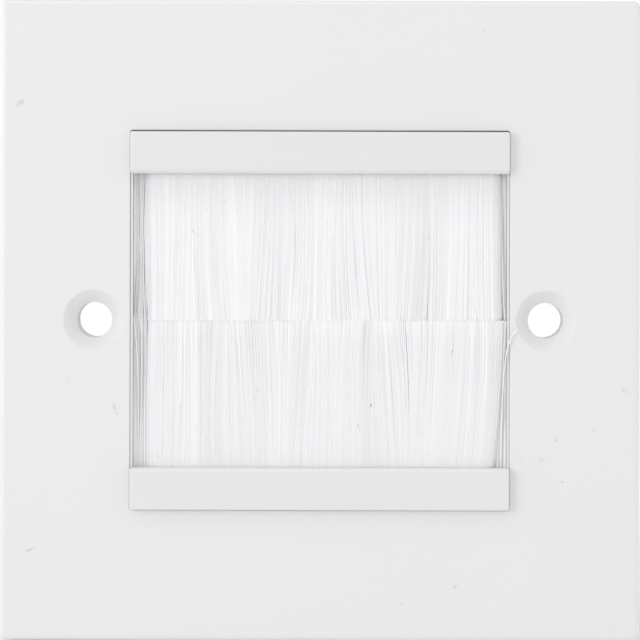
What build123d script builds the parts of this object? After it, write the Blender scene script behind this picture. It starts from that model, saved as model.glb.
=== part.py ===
from build123d import *
import math
import os

# A single-gang wall plate with a two-module brush insert for passing cables through a wall.
# All sizes are in millimetres. X runs to the right, Z up, and the face looks along -Y.
# The origin is midway between the two screw holes, on the wall. "Stand" is the distance
# of a face in front of the wall; what is behind the wall has a negative stand.

# Front plate
plate_size = 86.0
plate_depth = 8.0
plate_corner_radius = 1.25
plate_edge_round = 0.75
plate_draft = 2.5
front_wall = 2.2
skirt_wall = 1.8
hollow_corner_radius = 0.8

# Square opening of the plate, with its collar and the two ledges that the insert sits on
aperture_size = 50.6
aperture_corner_radius = 0.3
aperture_edge_chamfer = 0.12
collar_wall = 1.6
collar_stand = 3.0
ledge_height = 0.9
ledge_thickness = 1.8

# Screw holes and their bosses; beside the standard opening the holes are 60.3 apart
screw_rim = 0.8
screw_hole_diameter = 4.75
countersink_diameter = 8.1
countersink_angle = 90.0
boss_diameter = 8.4

# Stiffening ribs inside the plate
rib_thickness = 1.2
rib_height = 1.4

# Brush insert frame; it drops a little in its opening, so its upper gap is the wider one
side_clearance = 0.05
height_clearance = 0.12
insert_drop = 0.05
insert_proud = 1.2
insert_corner_radius = 0.3
insert_edge_round = 0.2
bar_height = 5.6
bar_lip_round = 0.7
bar_front_wall = 1.3
bar_end_wall = 0.6
insert_side_wall = 1.5
insert_top_wall = 0.95
side_lip_wall = 0.3
side_lip_stand = 7.8
insert_behind_wall = 2.0

# Snap tongues of the insert, two above and two below
tongue_width = 8.0
tongue_spacing = 26.0
tongue_slot = 0.8
tongue_root = 1.0
hook_height = 0.75
hook_length = 2.4
hook_clearance = 0.1

# Ledge and nibs that hold each brush strip in its bar
strip_ledge_depth = 0.35
nib_width = 4.0
nib_height = 0.5
nib_depth = 1.2
nib_spacing = 15.0
nib_count = 3

# Brush strips: folded steel channel, core wire and nylon bristles
channel_size = 3.0
channel_wall = 0.45
channel_bend_radius = 0.6
channel_end_clearance = 0.7
strip_shift = 0.5
wire_diameter = 0.9
strip_clearance = 0.03
bundle_proud = 0.15
bristle_thickness = 0.3
bristle_gap = 0.17
bristle_rows = 4
bundle_end_clearance = 0.1
row_pitch = 0.46
brush_parting = 0.2
tip_clearance = 0.15
forward_lean = 0.35
clump_closeness = 0.3
clump_sizes = (6, 9, 5, 8, 7)
sway_waves = 1.5
sway_strength = 0.85

# Places that follow from the sizes above
fixing_centres = aperture_size + countersink_diameter + 2 * screw_rim
inner_face = plate_depth - front_wall
aperture_half = aperture_size / 2
collar_half = aperture_half + collar_wall
ledge_edge = aperture_half - ledge_height
ledge_back = inner_face - ledge_thickness
insert_half = aperture_half - side_clearance
insert_top = aperture_half - height_clearance
insert_stand = plate_depth + insert_proud
body_half = ledge_edge - height_clearance
window_half = insert_top - bar_height
pocket_half = insert_half - bar_end_wall
inside_half = insert_half - insert_side_wall
pocket_stand = insert_stand - bar_front_wall
channel_top = body_half - insert_top_wall
channel_mouth = channel_top - channel_size
channel_back = pocket_stand - channel_size
channel_middle = pocket_stand - channel_size / 2
channel_length = 2 * (pocket_half - channel_end_clearance)
slot_width = channel_size - 2 * channel_wall
bundle_width = slot_width - 2 * strip_clearance
wire_height = channel_top - channel_wall - strip_clearance - bundle_width / 2
bundle_end = channel_mouth - bundle_proud
bundle_length = channel_length - 2 * bundle_end_clearance
bristle_pitch = bristle_thickness + bristle_gap
tip_reach = insert_half - side_lip_wall - tip_clearance - bristle_thickness / 2
tip_half = tip_reach - strip_shift


def slab(outline, back, front):
    """Solid of an outline seen from the front, from one stand to another."""
    return extrude(Plane.XZ.offset(back) * outline, amount=front - back)


def block(x_limits, stand_limits, z_limits):
    """Box between two places across, two stands and two heights."""
    sizes = [limits[1] - limits[0] for limits in (x_limits, stand_limits, z_limits)]
    middle = [sum(limits) / 2 for limits in (x_limits, stand_limits, z_limits)]
    return Pos(middle[0], -middle[1], middle[2]) * Box(*sizes)


def bar_along_x(points, x_limits):
    """Straight bar along X whose section is a polygon of (stand, height) points."""
    corners = [(-stand, height) for stand, height in points]
    section = make_face(Polyline(*corners, close=True))
    return extrude(Plane.YZ.offset(x_limits[0]) * section, amount=x_limits[1] - x_limits[0])


def both_halves(shape):
    """The shape and its mirror image below the middle."""
    return shape + mirror(shape, about=Plane.XY)


def screw_holes():
    """Clearance holes through the bosses, countersunk from the front."""
    hole_radius = screw_hole_diameter / 2
    head_radius = countersink_diameter / 2
    slope = math.tan(math.radians(countersink_angle / 2))
    overshoot = 0.5
    holes = Part()
    for side in (-1, 1):
        place = Pos(side * fixing_centres / 2, 0)
        holes += slab(place * Circle(hole_radius), -overshoot, plate_depth + overshoot)
        cone_height = (head_radius - hole_radius) / slope + overshoot
        cone = Cone(
            bottom_radius=hole_radius,
            top_radius=head_radius + overshoot * slope,
            height=cone_height,
            align=(Align.CENTER, Align.CENTER, Align.MAX),
        )
        front = Plane.XZ.offset(plate_depth + overshoot) * Pos(side * fixing_centres / 2, 0)
        holes += front * cone
    return holes


def plate_ribs():
    """Low ribs from the collar's corners and from the bosses out to the skirt."""
    half = rib_thickness / 2
    line = collar_half - collar_wall / 2
    reach = plate_size / 2 - skirt_wall / 2
    stands = (inner_face - rib_height, inner_face + front_wall / 2)
    ribs = Part()
    for side in (-1, 1):
        beside = (side * line - half, side * line + half)
        ribs += block(beside, stands, (-reach, reach))
        ribs += block((-reach, reach), stands, beside)
    ribs += block((-reach, reach), stands, (-half, half))
    return ribs


def front_plate():
    """Moulded face plate: drafted skirt, collared opening with ledges, bosses and ribs."""
    outline = RectangleRounded(plate_size, plate_size, plate_corner_radius)
    shell = extrude(Plane.XZ * outline, amount=plate_depth, taper=plate_draft)
    shell = fillet(shell.faces().sort_by(Axis.Y)[0].edges(), plate_edge_round)
    hollow_size = plate_size - 2 * skirt_wall
    hollow_outline = RectangleRounded(hollow_size, hollow_size, hollow_corner_radius)
    plate = shell - extrude(Plane.XZ * hollow_outline, amount=inner_face, taper=plate_draft)
    plate += plate_ribs()

    collar_outline = RectangleRounded(
        2 * collar_half, 2 * collar_half, aperture_corner_radius + collar_wall / 2
    )
    plate += slab(collar_outline, collar_stand, inner_face + front_wall / 2)
    for side in (-1, 1):
        boss = Pos(side * fixing_centres / 2, 0) * Circle(boss_diameter / 2)
        plate += slab(boss, 0, inner_face + front_wall / 2)

    opening = RectangleRounded(aperture_size, aperture_size, aperture_corner_radius)
    through = Rectangle(aperture_size, 2 * ledge_edge)
    plate -= slab(opening, inner_face, plate_depth)
    plate -= slab(opening, collar_stand, ledge_back)
    plate -= slab(through, ledge_back, inner_face)
    plate -= slab(opening, 0, collar_stand)
    rim = plate.edges().filter_by_position(Axis.Y, -plate_depth, -plate_depth)
    rim = [edge for edge in rim if inside_square(edge, aperture_half)]
    plate = chamfer(rim, aperture_edge_chamfer)
    return plate - screw_holes()


def inside_square(edge, half):
    """Whether an edge lies within a square about the middle, seen from the front."""
    box = edge.bounding_box()
    reach = half + 0.01
    return max(abs(box.min.X), abs(box.max.X), abs(box.min.Z), abs(box.max.Z)) < reach


def strip_nibs():
    """Wedges behind the upper strip, sloped so that the strip snaps past them."""
    nibs = Part()
    for index in range(nib_count):
        middle = (index - (nib_count - 1) / 2) * nib_spacing
        limits = (middle - nib_width / 2, middle + nib_width / 2)
        nibs += bar_along_x(
            [
                (channel_back, channel_top),
                (channel_back, channel_top - nib_height),
                (channel_back - nib_depth / 3, channel_top - nib_height),
                (channel_back - nib_depth, channel_top),
                (channel_back - nib_depth, channel_top + insert_top_wall / 2),
                (channel_back, channel_top + insert_top_wall / 2),
            ],
            limits,
        )
    return nibs


def snap_hooks():
    """Hooks of the two upper tongues, caught behind the plate's upper ledge."""
    catch = ledge_back - hook_clearance
    hooks = Part()
    for side in (-1, 1):
        middle = side * tongue_spacing / 2
        hooks += bar_along_x(
            [
                (catch, body_half - insert_top_wall / 2),
                (catch, body_half + hook_height),
                (catch - hook_length / 4, body_half + hook_height),
                (catch - hook_length, body_half),
                (catch - hook_length, body_half - insert_top_wall / 2),
            ],
            (middle - tongue_width / 2, middle + tongue_width / 2),
        )
    return hooks


def tongue_slots():
    """Slots on both sides of the two upper tongues, open at the back."""
    root = channel_back - tongue_root
    slots = Part()
    for side in (-1, 1):
        for edge in (-1, 1):
            middle = side * tongue_spacing / 2 + edge * (tongue_width + tongue_slot) / 2
            slots += block(
                (middle - tongue_slot / 2, middle + tongue_slot / 2),
                (-insert_behind_wall, root),
                (channel_top, body_half + hook_height),
            )
    return slots


def bars():
    """Two proud bars of the insert, rounded at the window and along their outer rims."""
    outline = RectangleRounded(2 * insert_half, 2 * insert_top, insert_corner_radius)
    both = slab(outline, inner_face, insert_stand)
    across = (-insert_half, insert_half)
    both -= block(across, (inner_face, insert_stand), (-window_half, window_half))
    front_edges = both.edges().filter_by_position(Axis.Y, -insert_stand, -insert_stand)
    both = fillet([edge for edge in front_edges if on_height(edge, window_half)], bar_lip_round)
    front_edges = both.edges().filter_by_position(Axis.Y, -insert_stand, -insert_stand)
    lip_end = window_half + bar_lip_round
    rims = [edge for edge in front_edges if not on_height(edge, lip_end)]
    return fillet(rims, insert_edge_round)


def on_height(edge, height):
    """Whether an edge runs level at this height, above or below the middle."""
    box = edge.bounding_box()
    return max(abs(abs(box.min.Z) - height), abs(abs(box.max.Z) - height)) < 0.01


def brush_module_frame():
    """Insert frame: two proud bars with strip pockets, joined behind by a thin open box."""
    across = (-insert_half, insert_half)
    frame = bars() + block(across, (-insert_behind_wall, inner_face), (-body_half, body_half))
    frame -= block(
        (-inside_half, inside_half), (-insert_behind_wall, channel_back), (-channel_top, channel_top)
    )
    frame -= block(
        (-pocket_half, pocket_half), (channel_back, pocket_stand), (-channel_top, channel_top)
    )
    frame -= block(across, (channel_back, insert_stand), (-window_half, window_half))

    lip = block(
        (insert_half - side_lip_wall, insert_half),
        (channel_back, side_lip_stand),
        (-window_half, window_half),
    )
    frame += lip + mirror(lip, about=Plane.YZ)
    ledge = block(
        (-pocket_half, pocket_half),
        (pocket_stand - strip_ledge_depth, pocket_stand),
        (window_half, channel_mouth),
    )
    frame += both_halves(ledge + strip_nibs() + snap_hooks())
    return frame - both_halves(tongue_slots())


def strip_bar(section, length):
    """Straight bar of a strip, from a section drawn about the strip's own middle."""
    place = Plane.YZ.offset(strip_shift) * Pos(-channel_middle, 0)
    return extrude(place * section, amount=length / 2, both=True)


def channel():
    """Folded steel channel of the upper strip, open downwards."""
    outside = make_face(
        FilletPolyline(
            (-channel_size / 2, channel_mouth),
            (-channel_size / 2, channel_top),
            (channel_size / 2, channel_top),
            (channel_size / 2, channel_mouth),
            radius=channel_bend_radius,
        )
        + Line((channel_size / 2, channel_mouth), (-channel_size / 2, channel_mouth))
    )
    inner_top = channel_top - channel_wall
    inner_radius = channel_bend_radius - channel_wall
    inside = make_face(
        FilletPolyline(
            (-slot_width / 2, channel_mouth),
            (-slot_width / 2, inner_top),
            (slot_width / 2, inner_top),
            (slot_width / 2, channel_mouth),
            radius=inner_radius,
        )
        + Line((slot_width / 2, channel_mouth), (-slot_width / 2, channel_mouth))
    )
    return strip_bar(outside - inside, channel_length)


def core_wire():
    """Straight wire that the bristles of the upper strip are folded over."""
    return strip_bar(Pos(0, wire_height) * Circle(wire_diameter / 2), channel_length)


def bundle():
    """Roots of the upper bristles, folded over the wire and filling the channel's slot."""
    half = bundle_width / 2
    fold = Pos(0, wire_height) * Circle(half)
    legs = Pos(0, (wire_height + bundle_end) / 2) * Rectangle(bundle_width, wire_height - bundle_end)
    hole = Pos(0, wire_height) * Circle(wire_diameter / 2 + strip_clearance)
    return strip_bar(fold + legs - hole, bundle_length)


def tip_places(count, start):
    """Places of a row's tips in order, close inside a clump and apart between clumps."""
    weights = []
    clump = start
    left = clump_sizes[clump % len(clump_sizes)]
    for index in range(count - 1):
        left -= 1
        weight = clump_closeness
        if left == 0:
            clump += 1
            left = clump_sizes[clump % len(clump_sizes)]
            sway = math.sin(2 * math.pi * (sway_waves * index / count + start / bristle_rows))
            weight += (1 - clump_closeness) * left * (1 + sway_strength * sway)
        weights.append(weight)
    spare = 2 * tip_half - (count - 1) * bristle_thickness
    places = [-tip_half]
    for weight in weights:
        places.append(places[-1] + bristle_thickness + spare * weight / sum(weights))
    return places


def bristle_row(row, start, lean_side):
    """One row of three-sided bristles that lean in clumps; tips stay in order and never cross."""
    count = int(bundle_length / bristle_pitch) - 1
    stagger = (row / bristle_rows - 0.5) * bristle_pitch
    stand = channel_middle + (row - (bristle_rows - 1) / 2) * row_pitch
    length = bundle_end - brush_parting / 2
    half = bristle_thickness / 2
    section = Polygon((-half, -half), (half, -half), (0, half))
    row_solids = []
    for index, tip in enumerate(tip_places(count, start)):
        root = (index - (count - 1) / 2) * bristle_pitch + stagger
        forward = -lean_side * forward_lean * math.sin(math.pi * root / bundle_length)
        face = (Pos(root + strip_shift, -stand, bundle_end) * section).face()
        row_solids.append(Solid.extrude(face, (tip - root, -forward, -length)))
    return row_solids


def bristles(start, lean_side):
    """Bristles of the upper strip; lean_side says which end bends forward."""
    solids = bundle().solids()
    for row in range(bristle_rows):
        solids += bristle_row(row, start + row, lean_side)
    return Compound(solids)


def lower(shape):
    """The same piece below the middle."""
    return mirror(shape, about=Plane.XY)


insert_nodes = {
    "brush_module_frame": brush_module_frame(),
    "upper_channel": channel(),
    "upper_core_wire": core_wire(),
    "upper_bristles": bristles(0, 1),
    "lower_channel": lower(channel()),
    "lower_core_wire": lower(core_wire()),
    "lower_bristles": lower(bristles(3, -1)),
}
nodes = {"front_plate": front_plate()}
for name, shape in insert_nodes.items():
    nodes[name] = Pos(0, 0, -insert_drop) * shape

os.makedirs("parts", exist_ok=True)
for name, shape in nodes.items():
    export_step(shape, f"parts/{name}.step")
    print(name, round(shape.volume, 2))
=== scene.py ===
"""Looks of a brush wall plate: white mouldings, folded steel strips and two fields of nylon bristles.

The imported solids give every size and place. This script dresses the mouldings, channels and wires
in the materials that they are made of, and puts curved filaments in place of the plain bristles.
"""

import logging
from dataclasses import dataclass, field
from enum import Enum

import bpy
import numpy as np
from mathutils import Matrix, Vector

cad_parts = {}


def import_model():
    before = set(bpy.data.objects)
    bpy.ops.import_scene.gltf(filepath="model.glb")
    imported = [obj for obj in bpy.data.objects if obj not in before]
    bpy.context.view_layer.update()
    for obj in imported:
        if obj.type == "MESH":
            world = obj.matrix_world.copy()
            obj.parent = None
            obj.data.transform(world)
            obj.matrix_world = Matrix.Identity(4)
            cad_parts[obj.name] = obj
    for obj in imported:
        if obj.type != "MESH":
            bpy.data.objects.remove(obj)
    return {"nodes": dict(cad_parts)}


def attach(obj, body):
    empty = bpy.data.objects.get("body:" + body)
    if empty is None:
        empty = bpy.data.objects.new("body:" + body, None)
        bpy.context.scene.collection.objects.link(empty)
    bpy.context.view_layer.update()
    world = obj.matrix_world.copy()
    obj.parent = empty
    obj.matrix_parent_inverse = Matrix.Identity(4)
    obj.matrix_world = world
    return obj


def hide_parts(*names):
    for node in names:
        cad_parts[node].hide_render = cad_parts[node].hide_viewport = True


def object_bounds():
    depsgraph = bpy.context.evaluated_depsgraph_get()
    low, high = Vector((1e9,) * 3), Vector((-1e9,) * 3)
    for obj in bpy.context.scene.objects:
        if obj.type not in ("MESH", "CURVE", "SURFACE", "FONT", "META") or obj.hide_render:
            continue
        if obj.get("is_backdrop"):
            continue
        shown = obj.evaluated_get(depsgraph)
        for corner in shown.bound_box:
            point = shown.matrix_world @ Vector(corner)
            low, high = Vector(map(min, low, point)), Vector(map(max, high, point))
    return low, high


MM = 0.001
PHOTO_SIDE = 640
FILAMENT_SIDES = 4

log = logging.getLogger("brush_wall_plate")

Array = np.ndarray
Tree = bpy.types.NodeTree
Socket = bpy.types.NodeSocket


class Half(Enum):
    """Which of the two brush strips a piece belongs to, as the sign of its height."""

    UPPER = 1
    LOWER = -1


def linear(colour: str) -> tuple[float, float, float, float]:
    """Turns an sRGB hex colour into linear light.

    Args:
        colour: Hex digits with a leading hash, as in "#EDEDEC".

    Returns:
        Linear red, green and blue, and an opacity of 1.
    """
    parts = np.array([int(colour[i : i + 2], 16) for i in (1, 3, 5)]) / 255
    low, high = parts / 12.92, ((parts + 0.055) / 1.055) ** 2.4
    red, green, blue = np.where(parts <= 0.04045, low, high)
    return float(red), float(green), float(blue), 1.0


def add_node(tree: Tree, kind: str, inputs: dict | None = None, **settings: object) -> bpy.types.Node:
    """Adds one node with its settings and links.

    Args:
        tree: Node tree that gets the node.
        kind: The shader node's type, as in "Math".
        inputs: Socket name or number to a plain value, to the socket that feeds it, or to a node
            whose first output feeds it.
        settings: The node's own settings.

    Returns:
        The new node.
    """
    node = tree.nodes.new(f"ShaderNode{kind}")
    for name, value in settings.items():
        setattr(node, name, value)
    for key, value in (inputs or {}).items():
        if isinstance(value, bpy.types.Node):
            value = value.outputs[0]
        if isinstance(value, Socket):
            tree.links.new(value, node.inputs[key])
        else:
            node.inputs[key].default_value = value
    return node


def new_material(name: str) -> tuple[bpy.types.Material, Tree]:
    """Makes a material with an empty node tree.

    Args:
        name: The material's name.

    Returns:
        The material and its tree.
    """
    material = bpy.data.materials.new(name)
    material.use_nodes = True
    material.node_tree.nodes.clear()
    return material, material.node_tree


def dress(piece: bpy.types.Object, material: bpy.types.Material) -> None:
    """Gives a piece one material, in place of those that it has."""
    piece.data.materials.clear()
    piece.data.materials.append(material)


@dataclass(frozen=True)
class Scuff:
    """A faint grey mark on a polished face, by its place, its two half sizes in mm and its turn.

    Such marks come from packing and handling, and are broken up by the grain of the face. A mark
    is full within its core, a share of its size. It reaches 1 mm in front of and behind the face,
    so that it shows on no other side.
    """

    across: float
    height: float
    half_length: float
    half_width: float
    turn: float = 0.0
    stand: float = 8.0
    core: float = 0.4

    def nearness(self, tree: Tree, place: Socket) -> Socket:
        """Builds a mask that rises from 0 at the mark's oval edge to 1 at its core.

        Args:
            tree: The material's tree.
            place: Object coordinates.

        Returns:
            The mask's socket.
        """
        oval = add_node(
            tree,
            "Mapping",
            {
                "Vector": place,
                "Location": (self.across * MM, -self.stand * MM, self.height * MM),
                "Rotation": (0.0, np.radians(self.turn), 0.0),
                "Scale": (self.half_length * MM, MM, self.half_width * MM),
            },
            vector_type="TEXTURE",
        )
        away = add_node(tree, "VectorMath", {0: oval}, operation="LENGTH")
        return add_node(
            tree, "MapRange", {"Value": away.outputs["Value"], "From Min": 1.0, "From Max": self.core}
        ).outputs[0]


PLATE_SCUFFS = (
    Scuff(-27.3, -11.8, 1.25, 0.22, 72.0),
    Scuff(21.8, 38.9, 0.55, 0.25, 80.0),
    Scuff(-40.0, 28.9, 0.9, 0.5, -35.0),
    Scuff(-33.6, -8.3, 0.25, 0.22),
    Scuff(27.1, -18.3, 0.28, 0.22),
    Scuff(29.6, -18.6, 0.45, 0.28, 10.0),
    Scuff(30.5, -18.4, 0.28, 0.18),
    Scuff(31.5, -15.9, 0.22, 0.4),
    Scuff(32.5, -21.5, 0.5, 0.2, 8.0),
    Scuff(34.4, -28.2, 0.22, 0.18),
    Scuff(40.7, -9.4, 0.8, 0.22, 35.0),
    Scuff(36.6, -14.6, 0.35, 0.3),
    Scuff(-38.6, -30.7, 0.9, 0.25, -20.0),
    Scuff(18.1, -35.5, 0.6, 0.22, -40.0),
    Scuff(11.1, -37.9, 0.25, 0.45, -20.0),
    Scuff(38.8, -40.8, 0.42, 0.14),
)


@dataclass(frozen=True)
class MouldedPlastic:
    """White thermoset or engineering plastic, injection moulded in a steel tool.

    The polished side of the tool leaves a clean gloss with a faint orange peel. The core side is
    spark eroded, so the hollow behind has a fine satin grain. Neither is pigmented quite evenly.
    The polished side is what stands further in front than the polished stand, or further out from
    the middle than the polished reach. Where the ring place isn't 0, the tool has two turned pins
    that far to each side of the middle.
    """

    name: str
    colour: str
    shade: str
    gloss_roughness: float
    satin_roughness: float
    polished_stand: float
    polished_reach: float
    gloss_swing: float = 0.02
    peel_mm: float = 2.6
    peel_height_mm: float = 0.02
    grain_mm: float = 0.35
    grain_height_mm: float = 0.03
    cloud_mm: float = 34.0
    scuffs: tuple[Scuff, ...] = ()
    scuff_colour: str = "#C8C8C7"
    scuff_grain: tuple[float, float] = (0.42, 0.62)
    ring_place: float = 0.0
    ring_reach: float = 4.05
    ring_mm: float = 0.26
    ring_height_mm: float = 0.006

    def polished_mask(self, tree: Tree, place: Socket) -> Socket:
        """Builds the mask of the polished side: in front of a stand, or outside a square.

        Args:
            tree: The material's tree.
            place: Object coordinates.

        Returns:
            A socket that is 1 on the polished side and 0 on the satin side.
        """
        axes = add_node(tree, "SeparateXYZ", {0: place}).outputs
        in_front = add_node(
            tree, "Math", {0: axes["Y"], 1: -self.polished_stand * MM}, operation="LESS_THAN"
        )
        width = add_node(tree, "Math", {0: axes["X"]}, operation="ABSOLUTE")
        height = add_node(tree, "Math", {0: axes["Z"]}, operation="ABSOLUTE")
        reach = add_node(tree, "Math", {0: width, 1: height}, operation="MAXIMUM")
        outside = add_node(
            tree, "Math", {0: reach, 1: self.polished_reach * MM}, operation="GREATER_THAN"
        )
        return add_node(tree, "Math", {0: in_front, 1: outside}, operation="MAXIMUM").outputs[0]

    def rings(self, tree: Tree, place: Socket) -> Socket:
        """Builds the fine rings that turning left in the tool's two countersink pins.

        The height is the sine of the distance from the nearer hole's axis over the rings' pitch,
        and is held to the countersink.

        Args:
            tree: The material's tree.
            place: Object coordinates.

        Returns:
            A socket with the height, from -1 to 1.
        """
        axes = add_node(tree, "SeparateXYZ", {0: place}).outputs
        width = add_node(tree, "Math", {0: axes["X"]}, operation="ABSOLUTE")
        across = add_node(tree, "Math", {0: width, 1: self.ring_place * MM}, operation="SUBTRACT")
        flat = add_node(tree, "CombineXYZ", {0: across, 2: axes["Z"]})
        away = add_node(tree, "VectorMath", {0: flat}, operation="LENGTH")
        radius = away.outputs["Value"]
        turns = add_node(
            tree, "Math", {0: radius, 1: 2 * np.pi / (self.ring_mm * MM)}, operation="MULTIPLY"
        )
        sine = add_node(tree, "Math", {0: turns}, operation="SINE")
        inside = add_node(tree, "Math", {0: radius, 1: self.ring_reach * MM}, operation="LESS_THAN")
        return add_node(tree, "Math", {0: sine, 1: inside}, operation="MULTIPLY").outputs[0]

    def scuffed(self, tree: Tree, place: Socket, grain: Socket, colour: Socket) -> Socket:
        """Lays the faint scuffs over the pigment.

        Args:
            tree: The material's tree.
            place: Object coordinates.
            grain: Fine noise that breaks the marks up.
            colour: The clean pigment.

        Returns:
            The pigment with its marks.
        """
        low, high = self.scuff_grain
        broken = add_node(tree, "MapRange", {"Value": grain, "From Min": low, "From Max": high})
        for scuff in self.scuffs:
            share = add_node(
                tree, "Math", {0: scuff.nearness(tree, place), 1: broken}, operation="MULTIPLY"
            )
            colour = add_node(
                tree,
                "Mix",
                {"Factor": share, 6: colour, 7: linear(self.scuff_colour)},
                data_type="RGBA",
            ).outputs[2]
        return colour

    def relief(self, tree: Tree, place: Socket, grain: Socket, polished: Socket) -> Socket:
        """Builds the surface's fine relief: peel and turned rings if polished, or else grain.

        Args:
            tree: The material's tree.
            place: Object coordinates.
            grain: Fine noise of the eroded side.
            polished: The mask of the polished side.

        Returns:
            A socket with the direction that the surface shades in.
        """
        peel = add_node(
            tree,
            "TexNoise",
            {"Vector": place, "Scale": 1 / (self.peel_mm * MM), "Detail": 1.0, "Roughness": 0.4},
        )
        fine = add_node(
            tree, "Bump", {"Height": grain, "Strength": 0.10, "Distance": self.grain_height_mm * MM}
        )
        smooth = add_node(
            tree, "Bump", {"Height": peel, "Strength": 0.08, "Distance": self.peel_height_mm * MM}
        )
        if self.ring_place:
            smooth = add_node(
                tree,
                "Bump",
                {
                    "Height": self.rings(tree, place),
                    "Strength": 0.3,
                    "Distance": self.ring_height_mm * MM,
                    "Normal": smooth,
                },
            )
        return add_node(tree, "Mix", {0: polished, 4: fine, 5: smooth}, data_type="VECTOR").outputs[1]

    def build(self) -> bpy.types.Material:
        """Makes the material: clouded pigment with scuffs, gloss or satin by side, and relief."""
        material, tree = new_material(self.name)
        place = add_node(tree, "TexCoord").outputs["Object"]
        polished = self.polished_mask(tree, place)
        cloud = add_node(
            tree,
            "TexNoise",
            {"Vector": place, "Scale": 1 / (self.cloud_mm * MM), "Detail": 3.0, "Roughness": 0.55},
        )
        pigment = add_node(
            tree,
            "Mix",
            {"Factor": cloud, 6: linear(self.shade), 7: linear(self.colour)},
            data_type="RGBA",
        )
        grain = add_node(
            tree,
            "TexNoise",
            {"Vector": place, "Scale": 1 / (self.grain_mm * MM), "Detail": 2.0, "Roughness": 0.6},
        ).outputs[0]
        gloss = add_node(
            tree,
            "MapRange",
            {
                "Value": grain,
                "To Min": self.gloss_roughness - self.gloss_swing,
                "To Max": self.gloss_roughness + self.gloss_swing,
            },
        )
        roughness = add_node(tree, "Mix", {0: polished, 2: self.satin_roughness, 3: gloss})
        surface = add_node(
            tree,
            "BsdfPrincipled",
            {
                "Base Color": self.scuffed(tree, place, grain, pigment.outputs[2]),
                "Roughness": roughness,
                "IOR": 1.54,
                "Normal": self.relief(tree, place, grain, polished),
            },
        )
        add_node(tree, "OutputMaterial", {"Surface": surface})
        return material


@dataclass(frozen=True)
class DrawnSteel:
    """Steel strip or wire with a thin metal plating, rolled or drawn along the strip.

    The rolls and the die leave fine lines along X, so the metal shines in long streaks, and the
    plating is a little cloudy.
    """

    name: str
    colour: str
    shade: str
    roughness: float
    line_mm: float
    run_mm: float
    line_height_mm: float = 0.02
    sheen_swing: float = 0.08

    def build(self) -> bpy.types.Material:
        """Makes the material: noise stretched along X drives the tone, the roughness and a bump."""
        material, tree = new_material(self.name)
        place = add_node(tree, "TexCoord").outputs["Object"]
        stretched = add_node(
            tree, "Mapping", {"Vector": place, "Scale": (self.line_mm / self.run_mm, 1.0, 1.0)}
        )
        lines = add_node(
            tree, "TexNoise", {"Vector": stretched, "Scale": 1 / (self.line_mm * MM), "Detail": 4.0}
        )
        tone = add_node(
            tree,
            "Mix",
            {"Factor": lines, 6: linear(self.shade), 7: linear(self.colour)},
            data_type="RGBA",
        )
        sheen = add_node(
            tree,
            "MapRange",
            {
                "Value": lines,
                "To Min": self.roughness - self.sheen_swing,
                "To Max": self.roughness + self.sheen_swing,
            },
        )
        bump = add_node(
            tree, "Bump", {"Height": lines, "Strength": 0.25, "Distance": self.line_height_mm * MM}
        )
        surface = add_node(
            tree,
            "BsdfPrincipled",
            {
                "Base Color": tone.outputs[2],
                "Metallic": 1.0,
                "Roughness": sheen,
                "Normal": bump,
            },
        )
        add_node(tree, "OutputMaterial", {"Surface": surface})
        return material


@dataclass(frozen=True)
class NylonFilament:
    """Extruded natural nylon filament, cut to length.

    Nylon lets some light through, so a pack of it looks brighter and a little bluer than a solid
    white moulding. Each filament has its own tone between the two colours.
    """

    name: str = "extruded_white_nylon"
    colour: str = "#F9F9FB"
    shade: str = "#E9E9EB"
    roughness: float = 0.42

    def build(self) -> bpy.types.Material:
        """Makes the material from the tone that each filament carries as an attribute."""
        material, tree = new_material(self.name)
        tone = add_node(tree, "Attribute", attribute_name="tone")
        colour = add_node(
            tree,
            "Mix",
            {"Factor": tone.outputs["Fac"], 6: linear(self.shade), 7: linear(self.colour)},
            data_type="RGBA",
        )
        surface = add_node(
            tree,
            "BsdfPrincipled",
            {
                "Base Color": colour.outputs[2],
                "Roughness": self.roughness,
                "IOR": 1.53,
            },
        )
        add_node(tree, "OutputMaterial", {"Surface": surface})
        return material


@dataclass(frozen=True)
class StudioPaper:
    """White translucent paper under the object, lit a little from below as on a light table.

    Where it is seen it takes a shadow nearby and runs out into white. The light that it sends up
    to the object is evened out by its glow, so that the plate's lower edge isn't in a dark corner.
    The shadow reaches so far, and the white begins so far out, in metres from the middle.
    """

    name: str = "white_studio_paper"
    colour: str = "#F8F8F8"
    shadow_reach: float = 0.11
    white_from: float = 0.30
    glow: float = 0.5

    def build(self) -> bpy.types.Material:
        """Makes the material: matt paper that blends into plain white away from the object."""
        material, tree = new_material(self.name)
        place = add_node(tree, "TexCoord").outputs["Object"]
        flat = add_node(tree, "VectorMath", {0: place, 1: (1, 1, 0)}, operation="MULTIPLY")
        away = add_node(tree, "VectorMath", {0: flat}, operation="LENGTH")
        fade = add_node(
            tree,
            "MapRange",
            {"Value": away.outputs["Value"], "From Min": self.shadow_reach, "From Max": self.white_from},
            interpolation_type="SMOOTHSTEP",
        )
        seen = seen_directly(tree)
        share = add_node(tree, "Mix", {0: seen, 2: self.glow, 3: fade})
        paper = add_node(tree, "BsdfDiffuse", {"Color": linear(self.colour)})
        white = add_node(tree, "Emission", {"Color": (1, 1, 1, 1), "Strength": 1.0})
        mixed = add_node(tree, "MixShader", {0: share, 1: paper, 2: white})
        add_node(tree, "OutputMaterial", {"Surface": mixed})
        return material


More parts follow.
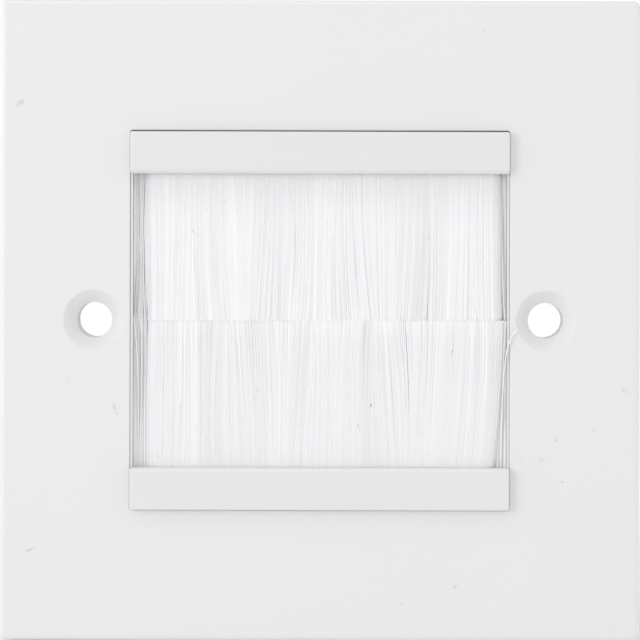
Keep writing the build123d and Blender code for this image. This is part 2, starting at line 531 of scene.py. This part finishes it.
def seen_directly(tree: Tree) -> Socket:
    """Builds the test for rays from the camera, a gloss or a clear solid.

    Args:
        tree: The tree of a material or of the world.

    Returns:
        A socket that is 1 for those rays and 0 for the rest.
    """
    rays = add_node(tree, "LightPath").outputs
    first = add_node(
        tree, "Math", {0: rays["Is Camera Ray"], 1: rays["Is Glossy Ray"]}, operation="MAXIMUM"
    )
    return add_node(
        tree, "Math", {0: first, 1: rays["Is Transmission Ray"]}, operation="MAXIMUM"
    ).outputs[0]


@dataclass
class Moulding:
    """A moulded part that is shown as its solid, in the finish of its tool."""

    node: str
    slot: str
    finish: MouldedPlastic

    def build(self, nodes: dict[str, bpy.types.Object]) -> bpy.types.Object:
        """Dresses the part's solid.

        Args:
            nodes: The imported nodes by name.

        Returns:
            The dressed node.
        """
        piece = nodes[self.node]
        dress(piece, self.finish.build())
        return piece


@dataclass
class FacePlate(Moulding):
    """The face plate, a glossy white moulding with turned countersinks."""

    node: str = "front_plate"
    slot: str = "white_plate_moulding"
    finish: MouldedPlastic = MouldedPlastic(
        name="gloss_white_urea_moulding",
        colour="#E7E7E7",
        shade="#E5E5E5",
        gloss_roughness=0.24,
        satin_roughness=0.50,
        polished_stand=5.85,
        polished_reach=42.0,
        scuffs=PLATE_SCUFFS,
        ring_place=30.15,
    )


@dataclass
class InsertFrame(Moulding):
    """The snap-in insert with its two proud bars, a little less glossy than the plate."""

    node: str = "brush_module_frame"
    slot: str = "white_insert_moulding"
    finish: MouldedPlastic = MouldedPlastic(
        name="satin_gloss_white_abs_moulding",
        colour="#E3E3E3",
        shade="#E1E1E1",
        gloss_roughness=0.30,
        satin_roughness=0.46,
        polished_stand=5.0,
        polished_reach=60.0,
        peel_mm=1.8,
    )


@dataclass
class StripMetal:
    """The folded channels and core wires of both strips, shown as their solids."""

    channel_slot: str = "zinc_plated_steel"
    wire_slot: str = "steel_wire"
    channel_finish: DrawnSteel = DrawnSteel(
        name="rolled_zinc_plated_steel",
        colour="#C9CCD1",
        shade="#B4B8BE",
        roughness=0.34,
        line_mm=0.16,
        run_mm=9.0,
    )
    wire_finish: DrawnSteel = DrawnSteel(
        name="drawn_steel_wire",
        colour="#B7B9BD",
        shade="#9C9EA3",
        roughness=0.26,
        line_mm=0.09,
        run_mm=14.0,
    )

    def build(self, nodes: dict[str, bpy.types.Object]) -> list[bpy.types.Object]:
        """Dresses the four metal solids.

        Args:
            nodes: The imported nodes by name.

        Returns:
            The dressed nodes.
        """
        plated, drawn = self.channel_finish.build(), self.wire_finish.build()
        pieces = []
        for side in ("upper", "lower"):
            for kind, material, slot in (
                ("channel", plated, self.channel_slot),
                ("core_wire", drawn, self.wire_slot),
            ):
                piece = nodes[f"{side}_{kind}"]
                dress(piece, material)
                pieces.append(piece)
        return pieces


def cubic_paths(pulls: Array, steps: int) -> Array:
    """Carries points along many cubic curves at once.

    A curve starts at its first point, leaves it towards the second, arrives from the third and
    ends at the fourth. With t from 0 to 1 the four points have the weights (1-t)^3, 3t(1-t)^2,
    3t^2(1-t) and t^3.

    Args:
        pulls: Array of curve, point and axis.
        steps: Number of spans along each curve.

    Returns:
        Array of curve, place along it and axis.
    """
    t = np.linspace(0, 1, steps + 1)
    weights = np.stack([(1 - t) ** 3, 3 * t * (1 - t) ** 2, 3 * t**2 * (1 - t), t**3])
    return np.einsum("pt,cpa->cta", weights, pulls)


def tube_walls(tubes: int, rings: int, corners: int) -> Array:
    """Joins each ring of many tubes to the next ring with faces of four corners.

    Vertices are numbered round a ring, then ring by ring, then tube by tube. Corner c of ring r
    of tube t is number (t times rings plus r) times corners plus c.

    Args:
        tubes: Number of tubes.
        rings: Number of rings along a tube.
        corners: Number of corners round a ring.

    Returns:
        Faces as rows of four vertex numbers.
    """
    ring = np.arange(tubes * rings).reshape(tubes, rings, 1)[:, :-1] * corners
    corner = np.arange(corners)
    after = (corner + 1) % corners
    walls = [ring + corner, ring + after, ring + corners + after, ring + corners + corner]
    return np.stack(walls, axis=-1).reshape(-1, 4)


def round_paths(paths: Array, radius: Array) -> tuple[Array, Array]:
    """Puts a closed tube of four sides round each path.

    A ring's corner at the angle a is the path's point plus radius times (cos a times the side
    direction plus sin a times the other), where the side direction is square to the path and to
    Y, and the other is square to both. The first and last rings are closed by one face each.

    Args:
        paths: Array of path, place along it and axis.
        radius: Radius of each tube. A square tube has the area of a round one when its corners
            stand out by the root of pi over two.

    Returns:
        Vertices, and faces as rows of four vertex numbers, with the end faces last.
    """
    count, places, _ = paths.shape
    along = np.gradient(paths, axis=1)
    along /= np.linalg.norm(along, axis=2, keepdims=True)
    side = np.cross(along, (0.0, 1.0, 0.0))
    side /= np.linalg.norm(side, axis=2, keepdims=True)
    other = np.cross(along, side)
    corner = np.arange(FILAMENT_SIDES)
    angle = (corner + 0.5) * 2 * np.pi / FILAMENT_SIDES
    ring = side[:, :, None] * np.cos(angle)[:, None] + other[:, :, None] * np.sin(angle)[:, None]
    vertices = paths[:, :, None] + ring * radius[:, None, None, None]

    first = (np.arange(count) * places * FILAMENT_SIDES)[:, None]
    last = first + (places - 1) * FILAMENT_SIDES
    walls = tube_walls(count, places, FILAMENT_SIDES)
    return vertices.reshape(-1, 3), np.concatenate([walls, first + corner[::-1], last + corner])


def mesh_piece(
    name: str, vertices: Array, faces: Array, normals: Array, tone: Array
) -> bpy.types.Object:
    """Puts worked-out arrays into a mesh object at the origin.

    Args:
        name: Name of the piece.
        vertices: Points in metres.
        faces: Rows of four vertex numbers.
        normals: The direction that each vertex shades in.
        tone: One tone from 0 to 1 for each vertex.

    Returns:
        The new object, linked to the scene.
    """
    mesh = bpy.data.meshes.new(name)
    mesh.vertices.add(len(vertices))
    mesh.vertices.foreach_set("co", vertices.astype(np.float32).ravel())
    mesh.loops.add(faces.size)
    mesh.loops.foreach_set("vertex_index", faces.astype(np.int32).ravel())
    mesh.polygons.add(len(faces))
    mesh.polygons.foreach_set("loop_start", np.arange(0, faces.size, 4, dtype=np.int32))
    mesh.polygons.foreach_set("use_smooth", np.ones(len(faces), dtype=bool))
    mesh.update(calc_edges=True)
    mesh.validate()
    mesh.normals_split_custom_set_from_vertices(normals.astype(np.float32))
    attribute = mesh.attributes.new("tone", "FLOAT", "POINT")
    attribute.data.foreach_set("value", tone.astype(np.float32))
    piece = bpy.data.objects.new(name, mesh)
    bpy.context.scene.collection.objects.link(piece)
    return piece


@dataclass(frozen=True)
class Stray:
    """One filament that has left the pack, by the four points that pull its curve.

    Each point is a place across, a stand in front of the wall and a height, in millimetres.
    """

    root: tuple[float, float, float]
    leaves: tuple[float, float, float]
    arrives: tuple[float, float, float]
    tip: tuple[float, float, float]


@dataclass
class BristleField:
    """The nylon filaments of one strip, folded over the core wire and trimmed at the middle.

    Sizes are in millimetres. Heights are given for the upper strip and turned over for the lower.
    """

    half: Half
    seed: int
    strays: tuple[Stray, ...]
    last_root: float
    slot: str = "white_nylon_bristle"

    # The pack in its channel, and the wire that it is folded over
    filament: float = 0.2
    layers: int = 9
    per_layer: int = 310
    first_root: float = -23.2
    pack_stand: float = 6.4
    pack_depth: float = 2.04
    drop: float = 0.05
    mouth: float = 20.18
    wire_height: float = 21.83
    wire_room: float = 0.48
    fold_steps: int = 8
    fold_ripple: float = 0.05

    # Where the roots stand: crowded to the faces in depth, and in shares of their pitch across
    face_closeness: float = 0.2
    crowding: float = 0.25
    end_round: float = 1.5
    end_share: float = 0.2
    first_place: float = 0.25
    stagger: float = 0.5
    root_chance: float = 0.1
    depth_chance: float = 0.012

    # The lie of the filaments, from their roots to the cut at the middle
    steps: int = 6
    leave_share: float = 0.12
    arrive_share: float = 0.62
    turn_share: float = 0.55
    held_reach: float = 6.0
    bow: float = 0.4
    forward: float = 0.05
    crossing: float = 1.5
    crossing_width: float = 7.0
    overlap: float = 0.9
    flare: float = 0.02
    tuft_low: float = 0.7
    tuft_high: float = 2.6
    tuft_lean: float = 0.07
    tuft_squeeze: tuple[float, float] = (0.95, 1.04)
    tuft_count: int = 60
    wave_lengths: tuple[float, ...] = (19.0, 9.5, 5.3, 2.9)
    wave_sizes: tuple[float, ...] = (0.65, 0.45, 0.22, 0.08)

    # How much chance moves each filament, and the share of its thickness that it leaves
    tip_chance: float = 0.04
    stand_chance: float = 0.015
    cut_chance: float = 0.07
    bow_chance: float = 0.05
    thickness_range: tuple[float, float] = (0.95, 1.05)

    # The pack's two ends
    spread: float = 0.15
    spread_reach: float = 4.0
    left_draw: float = 0.35
    left_reach: float = 3.0
    left_slack: float = 0.1

    # The loose fringe between the ends and the opening's lips, its chances for stand, cut and lean
    lip_places: tuple[float, float] = (-24.84, 24.84)
    fringe_layers: int = 5
    fringe_pitch: float = 0.11
    fringe_overlap: float = 0.55
    fringe_layer_pitch: float = 0.27
    fringe_stand: float = 0.15
    fringe_slope: float = 0.0
    fringe_tuck: float = 0.2
    fringe_heights: tuple[float, float, float] = (1.0, 0.68, 0.34)
    fringe_chances: tuple[float, float, float] = (0.04, 0.12, 0.12)
    stray_thickness: float = 0.8

    # The shading of a filament
    roundness: float = 0.25
    outer_depth: float = 0.75
    middle_tone: float = 0.5
    wave_tone: float = 0.16
    root_tone: float = 0.10
    tip_tone: float = 0.30
    # Painted shadow of the bar over the roots, and the rings past the mouth that it fades over
    painted_root_shadow: float = 0.0
    painted_shadow_rings: int = 2
    # Painted highlight on the last ring, at the cut tips
    painted_tip_highlight: float = 0.1
    # Painted light that lifts the loose fringe in the shaded bands beside the pack
    painted_fringe_light: float = 0.35
    fold_tone: float = 0.5

    # The source of chance, which every method draws from in the order of the build
    dice: np.random.Generator = field(init=False)

    def __post_init__(self) -> None:
        """Starts the strip's own seeded source of chance."""
        self.dice = np.random.default_rng(self.seed)

    def wave(self, across: Array) -> Array:
        """Works out a slow, uneven wave along the strip, as a sum of sines with chance phases.

        Args:
            across: Places along the strip.

        Returns:
            The wave's height at each place.
        """
        height = np.zeros_like(across)
        for length, size in zip(self.wave_lengths, self.wave_sizes):
            start = self.dice.uniform(0, 2 * np.pi)
            height += size * np.sin(across * 2 * np.pi / length + start)
        return height

    def tufts(self, root: Array, layer: Array) -> Array:
        """Works out where each filament's tip stands across, when neighbours gather in tufts.

        Each layer has its own small tufts at uneven spacing. A tip is its tuft's middle, plus the
        root's distance from that middle times a squeeze near 1, plus the tuft's lean.

        Args:
            root: Place of each root across.
            layer: Number of each root's layer in the depth of the pack.

        Returns:
            Place of each tip across.
        """
        tips = np.empty_like(root)
        for number in range(self.layers):
            gaps = self.dice.uniform(self.tuft_low, self.tuft_high, self.tuft_count)
            middles = self.first_root - self.dice.uniform(0, self.tuft_high) + np.cumsum(gaps)
            lean = self.tuft_lean * self.dice.normal(size=middles.size)
            squeeze = self.dice.uniform(*self.tuft_squeeze, middles.size)
            here = layer == number
            found = np.searchsorted((middles[1:] + middles[:-1]) / 2, root[here])
            tips[here] = middles[found] + (root[here] - middles[found]) * squeeze[found] + lean[found]
        return tips

    def from_end(self, root: Array) -> Array:
        """Works out how far each root is from the nearer end of the pack."""
        return np.minimum(root - self.first_root, self.last_root - root)

    def narrowing(self, root: Array) -> Array:
        """Works out the share of the pack's depth that is left towards its two rounded ends.

        Args:
            root: Place of each root across.

        Returns:
            The share at each root, which falls along a quarter of a circle to the end share.
        """
        inwards = np.clip(1 - self.from_end(root) / self.end_round, 0, 1)
        return np.sqrt(1 + self.end_share**2 - inwards**2)

    def spreading(self, root: Array) -> Array:
        """Works out how far each filament leans out to the right, towards the side lip.

        Args:
            root: Place of each root across.

        Returns:
            The spread times the square of the way from its reach's start to the last root.
        """
        return np.clip(1 + (root - self.last_root) / self.spread_reach, 0, 1) ** 2 * self.spread

    def at_the_ends(self, root: Array, tip: Array) -> Array:
        """Moves the outer tips: in a little at the left, and out to the spread at the right.

        Args:
            root: Place of each root across.
            tip: Place of each tip across.

        Returns:
            The moved tips, kept between the places that the two ends reach.
        """
        at_left = np.clip((self.first_root + self.left_reach - root) / self.left_reach, 0, 1)
        tip = tip + at_left * self.left_draw + self.spreading(root)
        return np.clip(tip, self.first_root - self.left_slack, self.last_root + self.spread)

    def pack(self) -> Array:
        """Works out the four pulling points of every filament in the pack.

        Roots stand in layers, crowded towards the front and back faces. To the left of the
        crossing the upper strip's tips lie in front of the lower strip's, and to the right behind
        them. The tips behind reach past the middle.

        Returns:
            Array of filament, point and axis, in millimetres, with Y towards the wall.
        """
        layer = np.repeat(np.arange(self.layers), self.per_layer)
        index = np.tile(np.arange(self.per_layer), self.layers)
        pitch = (self.last_root - self.first_root) / self.per_layer
        # The last two rows go unused, because fewer draws would change every later one
        of_root, of_tip, of_stand, of_cut, of_bow, of_depth, *_ = self.dice.normal(size=(8, layer.size))
        place = index + self.first_place + self.stagger * (layer % 2)
        root = self.first_root + place * pitch + self.root_chance * pitch * of_root
        even = np.clip(layer / (self.layers - 1) * 2 - 1 + self.crowding, -1, 1)
        depth = np.sign(even) * np.abs(even) ** self.face_closeness + self.depth_chance * of_depth
        depth *= (self.pack_depth - self.filament) / 2 * self.narrowing(root)
        held = np.clip(self.from_end(root) / self.held_reach, 0, 1)
        tip = self.tufts(root, layer) + held * self.wave(root) + self.tip_chance * of_tip
        tip = self.at_the_ends(root, tip)
        bow = self.bow * (held * self.wave(root) + self.spreading(root)) + self.bow_chance * of_bow

        front = np.tanh((self.crossing - root) / self.crossing_width) * self.half.value
        root_stand = self.pack_stand + depth
        tip_stand = root_stand + depth * self.flare + self.forward * front
        tip_stand += self.stand_chance * of_stand
        cut = -self.overlap * np.clip(-front, 0, 1) + self.cut_chance * of_cut
        length = self.mouth - cut

        points = np.empty((layer.size, 4, 3))
        points[:, 0] = np.stack([root, -root_stand, np.full_like(root, self.mouth)], axis=-1)
        points[:, 1, 0] = root + self.leave_share * (tip - root) + bow
        points[:, 1, 1] = -root_stand
        points[:, 1, 2] = self.mouth - length / 3
        points[:, 2, 0] = root + self.arrive_share * (tip - root) + bow
        points[:, 2, 1] = -root_stand - self.turn_share * (tip_stand - root_stand)
        points[:, 2, 2] = self.mouth - length * 2 / 3
        points[:, 3] = np.stack([tip, -tip_stand, cut], axis=-1)
        return points

    def end_fringe(self) -> Array:
        """Works out the loose fringe between the pack's two ends and the side lips.

        Its filaments stand in a few layers behind the pack's front, reach a little into the pack
        and fill the room up to the lip. Each keeps its place in that room from root to tip, give
        or take a little that is most beside the pack.

        Returns:
            Array of filament, point and axis, in millimetres.
        """
        stand_chance, cut_chance, lean_chance = self.fringe_chances
        sets = []
        for way, end, lip in zip((1, -1), (self.first_root, self.last_root), self.lip_places):
            across = np.arange(lip, end + way * self.fringe_overlap, way * self.fringe_pitch)
            place = np.tile(across, self.fringe_layers)
            layer = np.repeat(np.arange(self.fringe_layers), across.size)
            of_stand, of_cut, of_tip, of_middle = self.dice.normal(size=(4, place.size))
            share = (place - end) / (lip - end)
            stand = self.pack_stand + self.fringe_stand + self.fringe_slope * share
            stand += stand_chance * of_stand - self.fringe_layer_pitch * layer
            behind = np.clip(np.tanh((place - self.crossing) * self.half.value), 0, 1)
            lean = lean_chance * np.clip(1 - share, 0, 1)
            points = np.empty((place.size, 4, 3))
            points[:, :, 0] = (place + lean * of_middle)[:, None]
            points[:, 0, 0] = place
            points[:, 3, 0] = place + lean * of_tip
            points[:, :, 1] = -stand[:, None]
            points[:, 3, 1] += self.fringe_tuck * behind
            points[:, :3, 2] = self.mouth * np.array(self.fringe_heights)
            points[:, 3, 2] = cut_chance * of_cut - self.overlap * behind
            sets.append(points)
        return np.concatenate(sets)

    def pulls(self) -> Array:
        """Works out the four pulling points of the pack, the fringe and the strays, in that order.

        Returns:
            Array of filament, point and axis, in millimetres, turned over for the lower strip.
        """
        strays = np.array([[s.root, s.leaves, s.arrives, s.tip] for s in self.strays])
        points = np.concatenate([self.pack(), self.end_fringe(), strays * (1, -1, 1)])
        return points * (1, 1, self.half.value) - (0, 0, self.drop)

    def wire_place(self) -> float:
        """Works out the height of the core wire's axis, turned over for the lower strip."""
        return self.wire_height * self.half.value - self.drop

    def beside_wire(self, across: Array, depth: Array) -> Array:
        """Works out where each filament passes the core wire, in front of it or behind.

        The depth is squeezed into the room that is left between the wire and the channel.

        Args:
            across: Place of each root across.
            depth: Each root's stand before the pack's middle, as a share of half its depth.

        Returns:
            Array of filament and axis, in millimetres.
        """
        room = self.pack_depth / 2 - self.wire_room - self.filament
        away = self.wire_room + self.filament / 2 + np.abs(depth) * room
        stand = self.pack_stand + np.where(depth < 0, -away, away)
        return np.stack([across, -stand, np.full_like(across, self.wire_place())], axis=-1)

    def fold(self) -> tuple[Array, Array]:
        """Works out the arch of filaments over the core wire, with one ridge per two filaments.

        The arch is a half ring carried along X. Its outer radius is half the pack's depth less a
        ripple, its inner radius is the wire's room, and the profile closes on itself.

        Returns:
            Vertices in millimetres and faces as rows of four vertex numbers.
        """
        ridges = int((self.last_root - self.first_root) / (2 * self.filament))
        x = np.linspace(self.first_root, self.last_root, 2 * ridges + 1)[:, None]
        turn = np.linspace(0, np.pi, self.fold_steps + 1)
        angle = np.concatenate([turn, turn[::-1]])
        outer = self.pack_depth / 2 - self.fold_ripple * (np.arange(x.size) % 2)[:, None]
        radius = np.where(np.arange(angle.size) < turn.size, outer, self.wire_room)
        stand = self.pack_stand + radius * np.cos(angle)
        height = (self.wire_height + radius * np.sin(angle)) * self.half.value - self.drop
        vertices = np.stack([np.broadcast_to(x, radius.shape), -stand, height], axis=-1)

        span = np.arange(turn.size - 1)
        last = angle.size - 1
        near = np.stack([span, last - span, last - 1 - span, span + 1], axis=-1)
        far = near[:, ::-1] + (x.size - 1) * angle.size
        faces = np.concatenate([tube_walls(1, x.size, angle.size), near, far])
        if self.half is Half.LOWER:
            faces = faces[:, ::-1]
        return vertices.reshape(-1, 3), faces

    def fold_normals(self, arch: Array) -> Array:
        """Works out the directions of the arch: away from the wire outside, towards it inside."""
        way = (arch - (0, -self.pack_stand, self.wire_place())) * (0, 1, 1)
        reach = np.linalg.norm(way, axis=1, keepdims=True)
        inside = reach < (self.wire_room + self.pack_depth / 2) / 2
        return np.where(inside, -way, way) / reach

    def soft_normals(self, paths: Array, lead: Array) -> Array:
        """Works out the direction that each corner of each filament shades in.

        Light spreads inside nylon, so a filament in a pack shades flatter than a bare rod. The
        direction is the corner's own way out from the path times the roundness, plus the pack's
        way out, which is forwards for a lead of 1 and backwards for a lead of -1. A filament
        inside the pack or beside it has no lead and shades as a bare rod.

        Args:
            paths: Array of filament, place along it and axis.
            lead: The way out of the pack at each filament: 1, 0 or -1.

        Returns:
            One unit direction for each vertex.
        """
        vertices, _ = round_paths(paths, np.ones(len(paths)))
        way = vertices.reshape(len(paths), -1, FILAMENT_SIDES, 3) - paths[:, :, None]
        normals = way * self.roundness
        normals[..., 1] -= lead[:, None, None]
        return (normals / np.linalg.norm(normals, axis=-1, keepdims=True)).reshape(-1, 3)

    def tones(self, root: Array, packed: Array, rings: int) -> Array:
        """Works out how light each corner of each filament is, between the nylon's two colours.

        The tone is the strip's middle tone, plus a slow wave along the strip, plus a chance share of the
        filament that grows from root to tip, where the filaments part. Up to the mouth of the channel,
        at the second ring, it is lower by a painted shadow of the bar over the roots, which fades over
        the next few rings, and the last ring is higher by a painted highlight on the cut tips. The loose
        filaments are painted lighter, as painted light in the shaded bands beside the pack.

        Args:
            root: Place of each root across.
            packed: Which filaments are in the pack and not loose.
            rings: Number of rings along a filament.

        Returns:
            One tone for each vertex, from 0 to 1.
        """
        own = self.dice.normal(size=root.size)
        # The loose fringe is painted lighter, as painted light in its shaded bands
        slow = self.middle_tone + self.wave_tone * self.wave(root) + self.painted_fringe_light * ~packed
        share = np.linspace(self.root_tone, self.tip_tone, rings)
        past_mouth = np.arange(rings) - 1
        # Painted shadow at the roots under the bar, and a painted highlight on the last ring at the tips
        painted_shadow_and_highlight = -self.painted_root_shadow * np.clip(1 - past_mouth / self.painted_shadow_rings, 0, 1)
        painted_shadow_and_highlight[-1] = self.painted_tip_highlight
        tone = np.clip(slow[:, None] + own[:, None] * share + painted_shadow_and_highlight, 0, 1)
        return np.repeat(tone.reshape(-1), FILAMENT_SIDES)

    def build(self, finish: bpy.types.Material) -> bpy.types.Object:
        """Makes the field of filaments and puts it in place of the plain bristles.

        Args:
            finish: The nylon.

        Returns:
            The finished piece, riding on the plate's body.
        """
        pulls = self.pulls()
        root = pulls[:, 0, 0]
        depth = (-pulls[:, 0, 1] - self.pack_stand) / (self.pack_depth / 2)
        passing = self.beside_wire(root, depth)[:, None]
        paths = np.concatenate([passing, cubic_paths(pulls, self.steps)], axis=1)
        thickness = self.filament * self.dice.uniform(*self.thickness_range, len(paths))
        radius = thickness / 2 * np.sqrt(np.pi / 2)
        radius[-len(self.strays) :] *= self.stray_thickness
        vertices, faces = round_paths(paths * MM, radius * MM)
        packed = np.arange(len(paths)) < self.layers * self.per_layer
        outer = np.abs(depth) > self.outer_depth * self.narrowing(root)
        normals = self.soft_normals(paths, np.sign(depth) * outer * packed)
        tone = self.tones(root, packed, paths.shape[1])

        arch, arch_faces = self.fold()
        faces = np.concatenate([faces, arch_faces + len(vertices)])
        vertices = np.concatenate([vertices, arch * MM])
        normals = np.concatenate([normals, self.fold_normals(arch)])
        tone = np.concatenate([tone, np.full(len(arch), self.fold_tone)])
        strip = self.half.name.lower()
        piece = mesh_piece(f"{strip}_nylon_filaments", vertices, faces, normals, tone)
        dress(piece, finish)
        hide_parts(f"{strip}_bristles")
        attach(piece, "root")
        return piece


UPPER_STRAYS = (
    Stray((-23.6, 6.4, 20.1), (-23.7, 6.5, 14.0), (-24.5, 6.7, 7.0), (-24.7, 6.9, 0.6)),
    Stray((-23.5, 6.4, 20.1), (-23.6, 6.5, 15.0), (-23.8, 6.7, 7.0), (-24.3, 6.9, 0.3)),
    Stray((-23.3, 6.4, 20.1), (-23.5, 6.5, 13.0), (-23.7, 6.7, 6.0), (-23.4, 6.9, 0.2)),
    Stray((24.3, 6.6, 20.1), (24.3, 6.8, 12.0), (24.2, 7.0, 6.0), (24.7, 7.1, 0.1)),
)

LOWER_STRAYS = (
    Stray((-24.2, 6.8, 20.1), (-24.2, 7.1, 13.0), (-24.1, 7.2, 5.0), (-24.8, 7.5, -0.3)),
    Stray((-23.9, 6.8, 20.1), (-23.9, 7.0, 14.0), (-23.7, 7.1, 6.0), (-23.9, 7.3, -0.2)),
    Stray((24.3, 6.8, 20.1), (24.3, 7.0, 13.0), (24.4, 7.2, 6.0), (24.8, 7.4, 0.1)),
    Stray((24.3, 7.0, 20.1), (24.3, 7.1, 10.0), (24.3, 8.6, 2.0), (26.2, 8.4, 1.1)),
)


@dataclass(frozen=True)
class Softbox:
    """A square lamp that looks at the middle of the plate, in metres and watts."""

    name: str
    place: tuple[float, float, float]
    size: float
    power: float

    def build(self) -> None:
        """Adds the lamp to the scene."""
        data = bpy.data.lights.new(self.name, "AREA")
        data.shape = "SQUARE"
        data.size = self.size
        data.energy = self.power
        lamp = bpy.data.objects.new(self.name, data)
        lamp.location = self.place
        lamp.rotation_euler = (-Vector(self.place)).to_track_quat("-Z", "Y").to_euler()
        bpy.context.scene.collection.objects.link(lamp)


@dataclass
class Studio:
    """Paper floor, soft lamps, white surroundings and the camera at the photograph's place.

    Camera places are in millimetres in the plate's own frame. The picture's scale is the number
    of pixels that a millimetre of the plate's face takes in the photograph, and the axis pixel is
    where the camera's axis meets the picture. The floor's radius is in metres.
    """

    camera_across: float = 4.7
    camera_height: float = 10.7
    camera_distance: float = 480.0
    face_stand: float = 8.0
    scale: float = 7.503
    axis_pixel: tuple[float, float] = (355.3, 240.2)
    roll: float = 0.15
    sensor: float = 36.0
    surroundings: float = 0.823
    side_share: float = 1.3
    floor_radius: float = 0.6
    floor_sides: int = 96
    softboxes: tuple[Softbox, ...] = (
        Softbox("key_softbox", (-1.20, -1.10, 0.65), 0.60, 3.0),
        Softbox("top_softbox", (-0.10, -0.50, 1.15), 0.45, 1.4),
        Softbox("fill_softbox", (-0.50, -0.50, 0.06), 0.25, 0.5),
    )

    def add_camera(self) -> None:
        """Puts the camera square on to the plate, with the shift that the framing needs."""
        data = bpy.data.cameras.new("camera")
        data.sensor_width = self.sensor
        data.lens = self.sensor * self.camera_distance * self.scale / PHOTO_SIDE
        data.shift_x = (PHOTO_SIDE / 2 - self.axis_pixel[0]) / PHOTO_SIDE
        data.shift_y = (self.axis_pixel[1] - PHOTO_SIDE / 2) / PHOTO_SIDE
        data.clip_start = 0.01
        camera = bpy.data.objects.new("camera", data)
        camera.location = (
            self.camera_across * MM,
            -(self.face_stand + self.camera_distance) * MM,
            self.camera_height * MM,
        )
        camera.rotation_euler = (np.pi / 2, -np.radians(self.roll), 0)
        bpy.context.scene.collection.objects.link(camera)
        bpy.context.scene.camera = camera

    def add_surroundings(self) -> None:
        """Surrounds the object with soft white light, and with plain white where it is seen.

        The light is stronger from the two sides: its strength is the plain strength times one
        plus the side share times (x squared - 1/4), where x is the direction's part along X. The
        mean of x squared over all that a wall facing forwards sees is 1/4, so the face keeps its
        level.
        """
        world = bpy.data.worlds.new("white_surroundings")
        bpy.context.scene.world = world
        world.use_nodes = True
        tree = world.node_tree
        tree.nodes.clear()
        seen = seen_directly(tree)
        way = add_node(tree, "TexCoord").outputs["Generated"]
        part = add_node(tree, "SeparateXYZ", {0: way}).outputs["X"]
        square = add_node(tree, "Math", {0: part, 1: part}, operation="MULTIPLY")
        strength = add_node(
            tree,
            "Math",
            {
                0: square,
                1: self.surroundings * self.side_share,
                2: self.surroundings * (1 - self.side_share / 4),
            },
            operation="MULTIPLY_ADD",
        )
        soft = add_node(tree, "Background", {"Color": (1, 1, 1, 1), "Strength": strength})
        white = add_node(tree, "Background", {"Color": (1, 1, 1, 1), "Strength": 1.0})
        mixed = add_node(tree, "MixShader", {0: seen, 1: soft, 2: white})
        add_node(tree, "OutputWorld", {"Surface": mixed})

    def add_floor(self, height: float) -> None:
        """Lays a round sheet of paper under the plate, as stage.

        Args:
            height: The plate's lowest point in metres.
        """
        turn = np.arange(self.floor_sides) * 2 * np.pi / self.floor_sides
        rim = np.stack([np.cos(turn), np.sin(turn), np.zeros_like(turn)], axis=-1)
        mesh = bpy.data.meshes.new("floor")
        points = rim * self.floor_radius + (0, 0, height)
        mesh.from_pydata(points.tolist(), [], [list(range(self.floor_sides))])
        floor = bpy.data.objects.new("floor", mesh)
        bpy.context.scene.collection.objects.link(floor)
        dress(floor, StudioPaper().build())
        floor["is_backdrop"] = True

    def build(self, lowest: float) -> None:
        """Sets up the whole studio.

        Args:
            lowest: The plate's lowest point in metres.
        """
        self.add_camera()
        self.add_surroundings()
        for softbox in self.softboxes:
            softbox.build()
        self.add_floor(lowest)
        bpy.context.scene.view_settings.view_transform = "Standard"


def main() -> None:
    """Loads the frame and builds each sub-assembly in order."""
    logging.basicConfig(level=logging.INFO, format="%(name)s: %(message)s")
    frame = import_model()
    low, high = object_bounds()
    nodes = frame["nodes"]

    plate = FacePlate().build(nodes)
    log.info("%s is dressed", plate.name)
    insert = InsertFrame().build(nodes)
    log.info("%s is dressed", insert.name)
    for piece in StripMetal().build(nodes):
        log.info("%s is dressed", piece.name)
    nylon = NylonFilament().build()
    # The upper strip's roots get a painted shadow from the bar above them
    upper = BristleField(Half.UPPER, seed=11, strays=UPPER_STRAYS, last_root=24.1, painted_root_shadow=0.5)
    lower = BristleField(
        Half.LOWER,
        seed=23,
        strays=LOWER_STRAYS,
        last_root=23.4,
        spread=1.4,
        spread_reach=18.0,
        fringe_stand=0.25,
        fringe_slope=0.3,
        middle_tone=0.32,
        # The lower strip's cut tips get a stronger painted highlight
        painted_tip_highlight=0.35,
    )
    for strip in (upper, lower):
        piece = strip.build(nylon)
        log.info("%s has %d faces", piece.name, len(piece.data.polygons))
    Studio().build(low.z)


if __name__ == "__main__":
    main()
